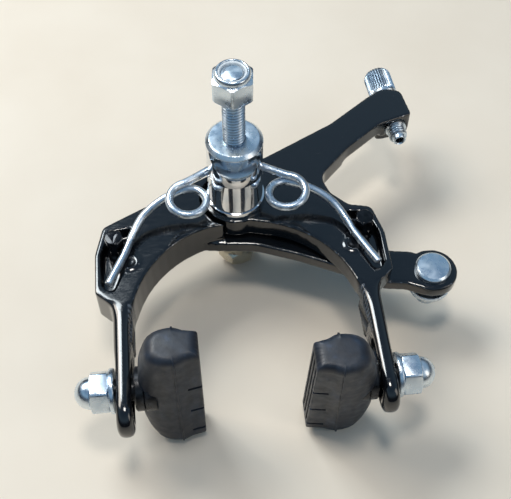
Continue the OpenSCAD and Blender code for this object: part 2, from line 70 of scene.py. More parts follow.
class Side(Enum):
    """Which leg a piece belongs to; the value is the sign of its X."""

    LEFT = -1
    RIGHT = 1

    @property
    def word(self) -> str:
        """Lower-case name, as the CAD nodes use it."""
        return self.name.lower()

    @property
    def arm_body(self) -> str:
        """Body of the arm whose leg is on this side."""
        return "front" if self is Side.LEFT else "rear"


# --------------------------------------------------------------------------------------
# Colours and nodes
# --------------------------------------------------------------------------------------


def linear(hex_colour: str) -> tuple[float, float, float, float]:
    """Turn an sRGB hex colour into Blender's linear RGBA.

    Args:
        hex_colour: Six hex digits with a leading hash sign.

    Returns:
        Linear red, green, blue and an alpha of 1.
    """
    digits = [int(hex_colour[i : i + 2], 16) / 255 for i in (1, 3, 5)]
    red, green, blue = [
        c / 12.92 if c <= 0.04045 else ((c + 0.055) / 1.055) ** 2.4 for c in digits
    ]
    return red, green, blue, 1.0


def add(
    tree: bpy.types.NodeTree,
    kind: str,
    inputs: dict[str | int, object] | None = None,
    stops: list[tuple[float, object]] | None = None,
    **settings: object,
) -> bpy.types.Node:
    """Add a node with its settings, values, links and, on a colour ramp, its stops.

    Args:
        tree: Node tree that gets the node.
        kind: The node type's name without its ShaderNode prefix.
        inputs: Socket to a value, or to the output socket that is linked to it.
        stops: Position and value of each stop; a value is a grey level or an RGBA colour.
        settings: Attributes of the node itself.

    Returns:
        The new node.
    """
    node = tree.nodes.new("ShaderNode" + kind)
    for name, value in settings.items():
        setattr(node, name, value)
    for socket, value in (inputs or {}).items():
        if isinstance(value, bpy.types.NodeSocket):
            tree.links.new(value, node.inputs[socket])
        else:
            node.inputs[socket].default_value = value
    if stops:
        marks = node.color_ramp.elements
        while len(marks) < len(stops):
            marks.new(0.5)
        for mark, (place, value) in zip(marks, stops):
            mark.position = place
            mark.color = value if isinstance(value, tuple) else (value, value, value, 1.0)
    return node


def blank_material(
    name: str,
) -> tuple[bpy.types.Material, bpy.types.NodeTree, bpy.types.Node, bpy.types.NodeSocket]:
    """Make a material with a Principled shader, an output and the piece's own coordinates.

    Args:
        name: The material's name.

    Returns:
        The material, its node tree, the shader and the Object coordinates' output.
    """
    material = bpy.data.materials.new(name)
    material.use_nodes = True
    tree = material.node_tree
    tree.nodes.clear()
    shader = add(tree, "BsdfPrincipled")
    add(tree, "OutputMaterial", {"Surface": shader.outputs[0]})
    return material, tree, shader, add(tree, "TexCoord").outputs["Object"]


# --------------------------------------------------------------------------------------
# Finishes
# --------------------------------------------------------------------------------------


@dataclass(frozen=True)
class PlatedMetal:
    """Electroplated steel: a mirror-like metal dulled by the plate's own grain and by handling.

    The eye sees the surroundings in it, broken by faint cloudy patches of the plate's colour.
    """

    name: str
    colour: str
    cloud: str
    smooth: float
    dull: float
    grain_mm: float = 0.25
    grain_depth: float = 0.05
    # Colour of the painted shade in the grooves
    groove_shade: str = "#3B4654"

    def material(self) -> bpy.types.Material:
        """Build the finish as a material.

        Returns:
            The new material.
        """
        material, tree, shader, place = blank_material(self.name)
        patches = add(tree, "TexNoise", {"Vector": place, "Scale": PER_M / 5.0, "Detail": 4.0})
        stops = [(0.35, linear(self.colour)), (0.72, linear(self.cloud))]
        tint = add(tree, "ValToRGB", {"Fac": patches.outputs["Fac"]}, stops)
        # Painted shade: the grooves are darkened toward a dark blue-grey, where little light reaches
        deep = add(tree, "Attribute", attribute_name="recess").outputs["Fac"]
        groove_shaded = add(tree, "MixRGB", {0: deep, 1: tint.outputs[0], 2: linear(self.groove_shade)})
        handling = add(tree, "TexNoise", {"Vector": place, "Scale": PER_M / 2.2, "Detail": 6.0})
        stops = [(0.3, self.smooth), (0.75, self.dull)]
        rough = add(tree, "ValToRGB", {"Fac": handling.outputs["Fac"]}, stops)
        grain = add(tree, "TexNoise", {"Vector": place, "Scale": PER_M / self.grain_mm, "Detail": 2.0})
        bump = add(
            tree,
            "Bump",
            {"Height": grain.outputs["Fac"], "Strength": self.grain_depth, "Distance": 0.00003},
        )
        tree.links.new(groove_shaded.outputs[0], shader.inputs["Base Color"])
        tree.links.new(rough.outputs[0], shader.inputs["Roughness"])
        tree.links.new(bump.outputs[0], shader.inputs["Normal"])
        shader.inputs["Metallic"].default_value = 1.0
        return material


@dataclass(frozen=True)
class ArmPaint:
    """Gloss black stoved enamel on a forging: a wet-looking coat over slightly wavy metal.

    It shows sharp reflections with a faint orange peel, dust, fine scuffs, and a trace of bare
    metal where the coat is thin on a corner. The inside of each leg is cut with slanting
    serrations above the pad, which the paint follows; their crests get a painted highlight.
    """

    name: str = "stoved_gloss_black"
    colour: str = "#0A0B0E"
    dust: str = "#2A2D33"
    bare: str = "#9A9DA2"
    # Grey of the painted highlight on the serrations' crests
    crest_highlight: str = "#5A6068"
    peel_mm: float = 1.6
    serration_mm: float = 1.0
    serration_slant: float = 38.0
    serrated_x: tuple[float, float] = (28.5, 31.4)
    serrated_y: tuple[float, float] = (-46.5, -32.5)

    def material(self) -> bpy.types.Material:
        """Build the finish as a material.

        Returns:
            The new material.
        """
        material, tree, shader, place = blank_material(self.name)
        dirt = add(tree, "TexNoise", {"Vector": place, "Scale": PER_M / 0.6, "Detail": 2.0})
        specks = add(tree, "ValToRGB", {"Fac": dirt.outputs["Fac"]}, [(0.70, 0.0), (0.78, 0.5)])
        base = add(
            tree,
            "MixRGB",
            {0: specks.outputs[0], 1: linear(self.colour), 2: linear(self.dust)},
        )
        corner = add(tree, "Attribute", attribute_name="corner").outputs["Fac"]
        uneven = add(tree, "TexNoise", {"Vector": place, "Scale": PER_M / 1.4, "Detail": 5.0})
        chips = add(tree, "Math", {0: corner, 1: uneven.outputs["Fac"]}, operation="MULTIPLY")
        worn = add(tree, "ValToRGB", {"Fac": chips.outputs[0]}, [(0.50, 0.0), (0.58, 1.0)])
        coat = add(tree, "MixRGB", {0: worn.outputs[0], 1: base.outputs[0], 2: linear(self.bare)})
        rubbed = add(tree, "Mapping", {"Vector": place, "Scale": (1, 5, 1)}).outputs[0]
        scuffs = add(tree, "TexNoise", {"Vector": rubbed, "Scale": PER_M / 3.0, "Detail": 8.0})
        stops = [(0.35, 0.10), (0.62, 0.16), (0.8, 0.34)]
        rough = add(tree, "ValToRGB", {"Fac": scuffs.outputs["Fac"]}, stops)
        # Serrations: slanting ridges, only on the inner face of each leg and above its slot.
        # A triangle wave repeats every 2 pi / 20 of its coordinate at a Scale of 1
        slant = add(
            tree, "Mapping", {"Vector": place, "Rotation": (math.radians(self.serration_slant), 0, 0)}
        )
        ridges = add(
            tree,
            "TexWave",
            {"Vector": slant.outputs[0], "Scale": PER_M * 2 * math.pi / 20 / self.serration_mm,
             "Distortion": 0.0},
            bands_direction="Y",
            wave_profile="TRI",
        )
        axes = add(tree, "SeparateXYZ", {0: place})
        reach = add(tree, "Math", {0: axes.outputs["X"]}, operation="ABSOLUTE").outputs[0]
        cut = ridges.outputs["Fac"]
        for value, (low, high) in ((reach, self.serrated_x), (axes.outputs["Y"], self.serrated_y)):
            for limit, test in ((low * MM, "GREATER_THAN"), (high * MM, "LESS_THAN")):
                inside = add(tree, "Math", {0: value, 1: limit}, operation=test).outputs[0]
                cut = add(tree, "Math", {0: cut, 1: inside}, operation="MULTIPLY").outputs[0]
        serrated = add(tree, "Bump", {"Height": cut, "Strength": 1.0, "Distance": 0.0004})
        orange = add(tree, "TexNoise", {"Vector": place, "Scale": PER_M / self.peel_mm, "Detail": 1.5})
        peel = add(
            tree,
            "Bump",
            {"Height": orange.outputs["Fac"], "Strength": 0.12, "Distance": 0.00006,
             "Normal": serrated.outputs[0]},
        )
        # Painted highlight: the serrations' crests are lightened toward grey
        shown = add(tree, "MixRGB", {0: cut, 1: coat.outputs[0], 2: linear(self.crest_highlight)})
        tree.links.new(shown.outputs[0], shader.inputs["Base Color"])
        tree.links.new(worn.outputs[0], shader.inputs["Metallic"])
        tree.links.new(rough.outputs[0], shader.inputs["Roughness"])
        tree.links.new(peel.outputs[0], shader.inputs["Normal"])
        shader.inputs["IOR"].default_value = 1.52
        shader.inputs["Coat Weight"].default_value = 0.6
        shader.inputs["Coat Roughness"].default_value = 0.06
        return material


@dataclass(frozen=True)
class SatinBlack:
    """Black oxide on turned steel: dark, satin, with lighter rubbed patches."""

    name: str = "black_oxide_steel"
    colour: str = "#101114"
    rubbed: str = "#33353A"
    smooth: float = 0.22
    dull: float = 0.42

    def material(self) -> bpy.types.Material:
        """Build the finish as a material.

        Returns:
            The new material.
        """
        material, tree, shader, place = blank_material(self.name)
        rubbing = add(tree, "TexNoise", {"Vector": place, "Scale": PER_M / 1.8, "Detail": 6.0})
        stops = [(0.4, linear(self.colour)), (0.8, linear(self.rubbed))]
        tint = add(tree, "ValToRGB", {"Fac": rubbing.outputs["Fac"]}, stops)
        oxide = add(tree, "TexNoise", {"Vector": place, "Scale": PER_M / 0.8, "Detail": 4.0})
        stops = [(0.3, self.smooth), (0.75, self.dull)]
        rough = add(tree, "ValToRGB", {"Fac": oxide.outputs["Fac"]}, stops)
        tree.links.new(tint.outputs[0], shader.inputs["Base Color"])
        tree.links.new(rough.outputs[0], shader.inputs["Roughness"])
        shader.inputs["Metallic"].default_value = 0.35
        return material


@dataclass(frozen=True)
class MouldedRubber:
    """Compression-moulded brake rubber: dark grey, matte, chalky with handling marks.

    A fine grain scatters the light, and bloom shows as paler smears along the pad.
    """

    name: str = "moulded_brake_rubber"
    colour: str = "#151B26"
    grey: str = "#1E2734"
    bloom: str = "#334055"
    grain_mm: float = 0.35
    dent_mm: float = 2.6

    def material(self) -> bpy.types.Material:
        """Build the finish as a material.

        Returns:
            The new material.
        """
        material, tree, shader, place = blank_material(self.name)
        drawn = add(tree, "Mapping", {"Vector": place, "Scale": (1.6, 1.6, 0.5)}).outputs[0]
        smears = add(tree, "TexNoise", {"Vector": drawn, "Scale": PER_M / 5.0, "Detail": 8.0})
        stops = [(0.38, linear(self.colour)), (0.6, linear(self.grey)), (0.8, linear(self.bloom))]
        tint = add(tree, "ValToRGB", {"Fac": smears.outputs["Fac"]}, stops)
        handling = add(tree, "TexNoise", {"Vector": place, "Scale": PER_M / 2.5, "Detail": 6.0})
        rough = add(tree, "ValToRGB", {"Fac": handling.outputs["Fac"]}, [(0.3, 0.38), (0.75, 0.62)])
        # A fine grain, and over it the shallow unevenness that the mould leaves
        normal = None
        for size_mm, detail, strength, distance in (
            (self.grain_mm, 4.0, 0.35, 0.00006),
            (self.dent_mm, 3.0, 0.25, 0.00025),
        ):
            rise = add(tree, "TexNoise", {"Vector": place, "Scale": PER_M / size_mm, "Detail": detail})
            values = {"Height": rise.outputs["Fac"], "Strength": strength, "Distance": distance}
            dents = add(tree, "Bump", values | ({"Normal": normal} if normal else {}))
            normal = dents.outputs[0]
        tree.links.new(tint.outputs[0], shader.inputs["Base Color"])
        tree.links.new(rough.outputs[0], shader.inputs["Roughness"])
        tree.links.new(dents.outputs[0], shader.inputs["Normal"])
        shader.inputs["IOR"].default_value = 1.52
        return material


@dataclass(frozen=True)
class WhiteNylon:
    """Moulded nylon locking ring: milky white with a soft shine."""

    name: str = "white_nylon"
    colour: str = "#DCE2E6"
    shade: str = "#B9C2C9"

    def material(self) -> bpy.types.Material:
        """Build the finish as a material.

        Returns:
            The new material.
        """
        material, tree, shader, place = blank_material(self.name)
        cloud = add(tree, "TexNoise", {"Vector": place, "Scale": PER_M / 2.0, "Detail": 3.0})
        stops = [(0.3, linear(self.colour)), (0.8, linear(self.shade))]
        tint = add(tree, "ValToRGB", {"Fac": cloud.outputs["Fac"]}, stops)
        tree.links.new(tint.outputs[0], shader.inputs["Base Color"])
        shader.inputs["Roughness"].default_value = 0.35
        shader.inputs["Subsurface Weight"].default_value = 0.1
        shader.inputs["Subsurface Radius"].default_value = (0.001, 0.001, 0.001)
        return material


class Finish(Enum):
    """Every finish on the calliper."""

    # Bright blue-passivated zinc on nuts, washers and the barrel: cool, slightly grainy
    ZINC = PlatedMetal("blue_zinc_plate", "#E3EBF1", "#C3D5E6", 0.2, 0.4)
    # Bright nickel-chrome on the turned block and washers: a near mirror
    CHROME = PlatedMetal("bright_chrome", "#E6E7E9", "#D2D8DE", 0.05, 0.14, 0.4, 0.02)
    # Plated drawn wire: bright along its length
    WIRE = PlatedMetal("plated_spring_wire", "#E0E8F0", "#BFD0E2", 0.22, 0.38)
    # Dull nickel on the front nuts: warm, satin
    NICKEL = PlatedMetal("dull_nickel", "#D2CCBC", "#B8AE98", 0.24, 0.42)
    # Rolled brass sheet between the arms
    BRASS = PlatedMetal("rolled_brass", "#B99A5B", "#A5854A", 0.3, 0.5)
    PAINT = ArmPaint()
    BLACK = SatinBlack()
    # The same oxide, oiled and rubbed bright, on the spring posts
    POST = SatinBlack("oiled_black_steel", "#0B0C0F", "#23252A", 0.08, 0.2)
    RUBBER = MouldedRubber()
    NYLON = WhiteNylon()

    def material(self) -> bpy.types.Material:
        """Build the finish once, and return the same material after that."""
        return bpy.data.materials.get(self.value.name) or self.value.material()


# --------------------------------------------------------------------------------------
# Surfaces
# --------------------------------------------------------------------------------------


def mesh_piece(
    name: str,
    points: np.ndarray,
    faces: list | np.ndarray,
    sharp: float = 32.0,
    recess: np.ndarray | None = None,
) -> bpy.types.Object:
    """Put a closed surface into a mesh object at the origin.

    Args:
        name: The piece's name.
        points: Corners in millimetres, one row each.
        faces: Corner numbers of each face.
        sharp: Angle in degrees above which an edge is drawn sharp.
        recess: How deep in a groove each point lies, 0 to 1, or None.

    Returns:
        The new object.
    """
    mesh = bpy.data.meshes.new(name)
    mesh.from_pydata((points * MM).tolist(), [], [list(map(int, f)) for f in faces])
    if recess is not None:
        values = mesh.attributes.new("recess", "FLOAT", "POINT").data
        values.foreach_set("value", recess.astype(np.float32))
    tidy = bmesh.new()
    tidy.from_mesh(mesh)
    bmesh.ops.remove_doubles(tidy, verts=tidy.verts, dist=1e-7)
    bmesh.ops.dissolve_degenerate(tidy, edges=tidy.edges, dist=1e-8)
    bmesh.ops.recalc_face_normals(tidy, faces=tidy.faces)
    tidy.to_mesh(mesh)
    tidy.free()
    return shown(mesh, sharp)


def shown(mesh: bpy.types.Mesh, sharp: float) -> bpy.types.Object:
    """Shade a mesh smooth but for its sharp edges, and put it into the scene.

    Args:
        mesh: The mesh, whose name the object gets.
        sharp: Angle in degrees above which an edge is drawn sharp.

    Returns:
        The new object.
    """
    mesh.polygons.foreach_set("use_smooth", np.ones(len(mesh.polygons), bool))
    mesh.set_sharp_from_angle(angle=math.radians(sharp))
    piece = bpy.data.objects.new(mesh.name, mesh)
    bpy.context.scene.collection.objects.link(piece)
    return piece


def grid_faces(rows: int, columns: int, close_rows: bool = False) -> np.ndarray:
    """Quads of a grid of points whose columns close on themselves.

    Point (i, j) has the number i * columns + j.

    Args:
        rows: Number of rings.
        columns: Points in each ring.
        close_rows: Whether the last ring joins the first.

    Returns:
        Four corner numbers for each quad.
    """
    i, j = np.meshgrid(np.arange(rows if close_rows else rows - 1), np.arange(columns), indexing="ij")
    after_i, after_j = (i + 1) % rows, (j + 1) % columns
    return np.stack(
        [i * columns + j, i * columns + after_j, after_i * columns + after_j, after_i * columns + j], -1
    ).reshape(-1, 4)


def end_fans(rings: int, sides: int) -> list[list[int]]:
    """Triangles that close the two ends of a grid of rings.

    The point that closes the first ring has the number after the last ring's points, and the one
    that closes the last ring has the next number.

    Args:
        rings: Number of rings.
        sides: Points in each ring.

    Returns:
        Three corner numbers for each triangle.
    """
    tip, start = rings * sides, (rings - 1) * sides
    j = np.arange(sides)
    pairs = list(zip(j, (j + 1) % sides))
    return [[tip, b, a] for a, b in pairs] + [[tip + 1, start + a, start + b] for a, b in pairs]


def eased(profile: list[tuple[float, float]], radius: float, steps: int = 3) -> np.ndarray:
    """Round each inner corner of an open profile with a small quadratic curve.

    A corner b between a and c becomes the points (1-t)^2 p + 2t(1-t) b + t^2 q, where p and q lie
    at most radius from b on its two sides.

    Args:
        profile: Points (radius, height) in order.
        radius: Most that a corner is cut back, in millimetres.
        steps: Pieces of each curve.

    Returns:
        The eased profile, one row a point.
    """
    points = np.array(profile, float)
    out = [points[0]]
    for a, b, c in zip(points[:-2], points[1:-1], points[2:]):
        near, far = np.linalg.norm(a - b), np.linalg.norm(c - b)
        cut = min(radius, 0.45 * near, 0.45 * far)
        p, q = b + (a - b) / near * cut, b + (c - b) / far * cut
        t = np.linspace(0, 1, steps + 1)[:, None]
        out.extend((1 - t) ** 2 * p + 2 * t * (1 - t) * b + t**2 * q)
    out.append(points[-1])
    return np.array(out)


def turned(profile: np.ndarray, sides: int = 72, closed: bool = False) -> tuple[np.ndarray, np.ndarray]:
    """Surface of revolution about Z.

    A profile point (r, z) at angle a becomes (r cos a, r sin a, z). A radius of zero closes a pole.

    Args:
        profile: Points (r, z).
        sides: Steps round the axis.
        closed: Whether the profile joins its own start, as on a ring.

    Returns:
        Points and faces.
    """
    angle = np.arange(sides) * 2 * np.pi / sides
    r, z = profile[:, :1], profile[:, 1:2]
    points = np.stack([r * np.cos(angle), r * np.sin(angle), z + 0 * angle], -1).reshape(-1, 3)
    return points, grid_faces(len(profile), sides, closed)


def hexed(
    flats: float, height: float, bore: float, chamfer: float = 30.0, sides: int = 120
) -> tuple[np.ndarray, np.ndarray]:
    """Hexagon nut whose rims are cut by a cone, from z = 0 up.

    The wall's radius at angle a is R(a) = flats / (2 cos((a mod 60) - 30)), its corners
    softened, and each rim drops by (R(a) - flats / 2) tan(chamfer) toward them.

    Args:
        flats: Width across the flats.
        height: Height of the nut.
        bore: Radius of the hole.
        chamfer: Angle of the rim's cone in degrees.
        sides: Steps round the nut, a multiple of six.

    Returns:
        Points and faces of a closed surface.
    """
    angle = np.arange(sides) * 2 * np.pi / sides
    within = np.mod(angle, np.pi / 3) - np.pi / 6
    wall = np.minimum(flats / 2 / np.cos(within), flats / 2 / math.cos(math.pi / 6) - 0.12)
    rim = flats / 2 - 0.08
    drop = (wall - rim) * math.tan(math.radians(chamfer))
    flat = np.ones_like(angle)
    rings = [
        (bore * flat, 0.35 * flat),
        ((bore + 0.35) * flat, 0 * flat),
        (rim * flat, 0 * flat),
        (wall - 0.04, drop * 0.92),
        (wall, drop + 0.08),
        (wall, height - drop - 0.08),
        (wall - 0.04, height - drop * 0.92),
        (rim * flat, height * flat),
        ((bore + 0.35) * flat, height * flat),
        (bore * flat, (height - 0.35) * flat),
    ]
    points = np.concatenate(
        [np.stack([r * np.cos(angle), r * np.sin(angle), z], -1) for r, z in rings]
    )
    return points, grid_faces(len(rings), sides, True)


def threaded(
    radius: float, low: float, high: float, pitch: float, depth: float, sides: int = 48, rows: int = 10
) -> tuple[np.ndarray, list, np.ndarray]:
    """Rod with a helical thread and domed, chamfered ends.

    The radius at angle a and height z is radius - depth * saw(z / pitch - a / 2 pi), where saw
    rises and falls once a turn and its crests are a little rounded; it fades at both ends.

    Args:
        radius: Outer radius of the thread.
        low: Height of the lower end.
        high: Height of the upper end.
        pitch: Rise of the thread in a turn.
        depth: Depth of the thread.
        sides: Steps round the rod.
        rows: Steps in each pitch.

    Returns:
        Points and faces of a closed surface, and how deep in the groove each point lies.
    """
    z = np.linspace(low, high, int((high - low) / pitch * rows) + 1)[:, None]
    angle = (np.arange(sides) * 2 * np.pi / sides)[None, :]
    phase = np.mod(z / pitch - angle / (2 * np.pi), 1.0)
    saw = np.clip(np.abs(phase * 2 - 1) * 1.16 - 0.08, 0, 1)
    end = np.minimum(z - low, high - z)
    r = radius - depth * saw - np.clip(0.55 - end, 0, 0.55)
    body = np.stack([r * np.cos(angle), r * np.sin(angle), z + 0 * angle], -1).reshape(-1, 3)
    caps = np.array([[0, 0, low], [0, 0, high]])
    faces = grid_faces(len(z), sides).tolist() + end_fans(len(z), sides)
    recess = np.append((saw**1.5).ravel() * (end.repeat(sides) > 0.7), [0, 0])
    return np.concatenate([body, caps]), faces, recess


def along(
    path: np.ndarray, radius: float, sides: int = 20, round_end: float = 0.25
) -> tuple[np.ndarray, list]:
    """Round wire along a path, with its ends slightly rounded.

    Each ring is path + radius (cos k u + sin k v), where v is level, u is square to v and to the
    path, and the first and last rings shrink onto the path's ends.

    Args:
        path: Centreline, one row a point.
        radius: Radius of the wire.
        sides: Steps round the wire.
        round_end: Size of the rounding at both ends.

    Returns:
        Points and faces of a closed surface.
    """
    tangent = np.gradient(path, axis=0)
    tangent /= np.linalg.norm(tangent, axis=1)[:, None]
    v = np.cross(tangent, [0.0, 0.0, 1.0])
    v /= np.linalg.norm(v, axis=1)[:, None]
    u = np.cross(v, tangent)
    k = (np.arange(sides) * 2 * np.pi / sides)[None, :, None]
    inner = radius - round_end
    first, last = path[:1], path[-1:]
    inset = [first + tangent[:1] * round_end, last - tangent[-1:] * round_end]
    centres = np.concatenate([first, inset[0], path[1:-1], inset[1], last])
    size = np.concatenate([[inner, radius], np.full(len(path) - 2, radius), [radius, inner]])
    us = np.concatenate([u[:1], u[:1], u[1:-1], u[-1:], u[-1:]])[:, None]
    vs = np.concatenate([v[:1], v[:1], v[1:-1], v[-1:], v[-1:]])[:, None]
    rings = centres[:, None] + size[:, None, None] * (np.cos(k) * us + np.sin(k) * vs)
    points = np.concatenate([rings.reshape(-1, 3), first, last])
    return points, grid_faces(len(centres), sides).tolist() + end_fans(len(centres), sides)


def join(parts: list[tuple[np.ndarray, object]]) -> tuple[np.ndarray, list]:
    """Put several closed surfaces into one list of points and faces.

    Args:
        parts: Points and faces of each surface.

    Returns:
        All points and all faces.
    """
    points, faces, count = [], [], 0
    for own_points, own_faces in parts:
        points.append(own_points)
        faces.extend([[c + count for c in f] for f in np.asarray(own_faces, object).tolist()])
        count += len(own_points)
    return np.concatenate(points), faces


def placed(
    points: np.ndarray, move: tuple[float, float, float] | Vector, turn: Matrix | None = None
) -> np.ndarray:
    """Turn points about the origin, then move them.

    Args:
        points: One row a point.
        move: Where the origin goes, in millimetres.
        turn: Rotation, or None for none.

    Returns:
        The new points.
    """
    if turn is not None:
        points = points @ np.array(turn.to_3x3()).T
    return points + np.array(move, float)


def box_mm(node: str) -> tuple[np.ndarray, np.ndarray]:
    """Find the box round a CAD node.

    Args:
        node: The CAD node.

    Returns:
        Its lowest and highest corner, in millimetres.
    """
    low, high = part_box(node)
    return np.array(low) / MM, np.array(high) / MM


def relaxed(co: np.ndarray, edges: np.ndarray, weight: np.ndarray, passes: int) -> np.ndarray:
    """Draw each point toward the mean of its neighbours, several times.

    One pass is p <- p + w / 2 (mean of the neighbours - p), where w is the point's weight.

    Args:
        co: Points, one row each.
        edges: Point numbers at both ends of each edge.
        weight: Weight of each point, 0 to 1.
        passes: Number of rounds.

    Returns:
        The moved points.
    """
    ends = np.concatenate([edges[:, 0], edges[:, 1]])
    others = np.concatenate([edges[:, 1], edges[:, 0]])
    degree = np.maximum(np.bincount(ends, minlength=len(co)), 1)[:, None]
    for _ in range(passes):
        mean = np.stack([np.bincount(ends, co[others, k], len(co)) for k in range(3)], -1) / degree
        co = co + weight[:, None] / 2 * (mean - co)
    return co


def bevelled(node: str, width: float) -> bpy.types.Object:
    """Copy a CAD node and give its sharp edges a small round bevel, so that they catch light.

    Args:
        node: The CAD node.
        width: Width of the bevel in millimetres.

    Returns:
        The new piece, which stands for the node.
    """
    shape = bmesh.new()
    shape.from_mesh(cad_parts[node].data)
    bmesh.ops.remove_doubles(shape, verts=shape.verts, dist=1e-6)
    bmesh.ops.dissolve_limit(shape, angle_limit=0.01, verts=shape.verts, edges=shape.edges)
    least = math.radians(26)
    sharp = [e for e in shape.edges if len(e.link_faces) == 2 and e.calc_face_angle(0) > least]
    bmesh.ops.bevel(
        shape, geom=sharp, offset=width * MM, offset_type="OFFSET", segments=2, profile=0.5,
        affect="EDGES", clamp_overlap=True,
    )
    mesh = bpy.data.meshes.new(node + "_bevelled")
    shape.to_mesh(mesh)
    shape.free()
    return shown(mesh, 34)


def softened(
    node: str,
    name: str,
    voxel: float,
    passes: int,
    deep_passes: int = 0,
    deep_below: float = 0.0,
    fills: tuple[tuple[list[tuple[float, float]], float, float], ...] = (),
) -> bpy.types.Object:
    """Copy a CAD node, remesh it in small cubes and relax it, so its edges are rounded.

    The copy also gets a "corner" value at each point: how far the point stands out from the
    mean of its neighbours, so that wear can gather on the corners.

    Args:
        node: The CAD node that the piece is made from.
        name: Name of the new piece.
        voxel: Size of the remesh in millimetres.
        passes: Rounds of relaxing; more gives a bigger edge radius.
        deep_passes: Further rounds for the part that lies below deep_below along Y.
        deep_below: Where that part begins, in millimetres; it fades in over 5 mm.
        fills: Outline in plan, bottom and top of each prism that is melted into the copy.

    Returns:
        The new piece, which stands for the node.
    """
    merged = bmesh.new()
    merged.from_mesh(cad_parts[node].data)
    bmesh.ops.remove_doubles(merged, verts=merged.verts, dist=1e-6)
    for outline, bottom, top in fills:
        lower, upper = (
            [merged.verts.new((x * MM, y * MM, z * MM)) for x, y in outline] for z in (bottom, top)
        )
        merged.faces.new(lower)
        merged.faces.new(upper)
        for a, b, c, d in zip(lower, lower[1:] + lower[:1], upper[1:] + upper[:1], upper):
            merged.faces.new((a, b, c, d))
        bmesh.ops.recalc_face_normals(merged, faces=merged.faces)
    source = bpy.data.meshes.new(name + "_source")
    merged.to_mesh(source)
    merged.free()
    piece = bpy.data.objects.new(name, source)
    bpy.context.scene.collection.objects.link(piece)
    remesh = piece.modifiers.new("cubes", "REMESH")
    remesh.mode = "VOXEL"
    remesh.voxel_size = voxel * MM
    evaluated = piece.evaluated_get(bpy.context.evaluated_depsgraph_get())
    mesh = bpy.data.meshes.new_from_object(evaluated)
    mesh.name = name
    piece.modifiers.clear()
    piece.data = mesh
    mesh.polygons.foreach_set("use_smooth", np.ones(len(mesh.polygons), bool))
    count = len(mesh.vertices)
    co = np.empty(count * 3, np.float32)
    mesh.vertices.foreach_get("co", co)
    edges = np.empty(len(mesh.edges) * 2, np.int32)
    mesh.edges.foreach_get("vertices", edges)
    co, edges = co.reshape(-1, 3).astype(float), edges.reshape(-1, 2)
    co = relaxed(co, edges, np.ones(count), passes)
    if deep_passes:
        co = relaxed(co, edges, np.clip((deep_below - co[:, 1] / MM) / 5, 0, 1), deep_passes)
    mesh.vertices.foreach_set("co", co.astype(np.float32).ravel())
    mesh.update()
    normal = np.empty(count * 3, np.float32)
    mesh.vertices.foreach_get("normal", normal)
    normal = normal.reshape(-1, 3)
    total, degree = np.zeros((count, 3)), np.bincount(edges.ravel(), minlength=count)
    np.add.at(total, edges[:, 0], co[edges[:, 1]])
    np.add.at(total, edges[:, 1], co[edges[:, 0]])
    stand = np.einsum("ij,ij->i", co - total / np.maximum(degree, 1)[:, None], normal) / (voxel * MM)
    corner = mesh.attributes.new("corner", "FLOAT", "POINT")
    corner.data.foreach_set("value", np.clip(stand * 9, 0, 1).astype(np.float32))
    return piece


def dress(
    piece: bpy.types.Object, finish: Finish, slot: str, body: str, *nodes: str
) -> bpy.types.Object:
    """Give a piece its finish, its body and the CAD nodes that it stands for.

    Args:
        piece: The new piece.
        finish: Its finish.
        slot: Name of a material slot; not used.
        body: The CAD body that it moves with.
        nodes: CAD nodes that it stands for.

    Returns:
        The same piece.
    """
    piece.data.materials.clear()
    piece.data.materials.append(finish.material())
    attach(piece, body)
    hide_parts(*nodes)
    LOG.info("%s: %d faces, on body %s", piece.name, len(piece.data.polygons), body)
    return piece


def keep(node: str, finish: Finish) -> None:
    """Show a CAD node as it is, with a finish.

    Args:
        node: The CAD node.
        finish: Its finish.
    """
    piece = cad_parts[node]
    piece.data.materials.clear()
    piece.data.materials.append(finish.material())
    LOG.info("%s: kept from the CAD", node)


# --------------------------------------------------------------------------------------
# Sub-assemblies
# --------------------------------------------------------------------------------------


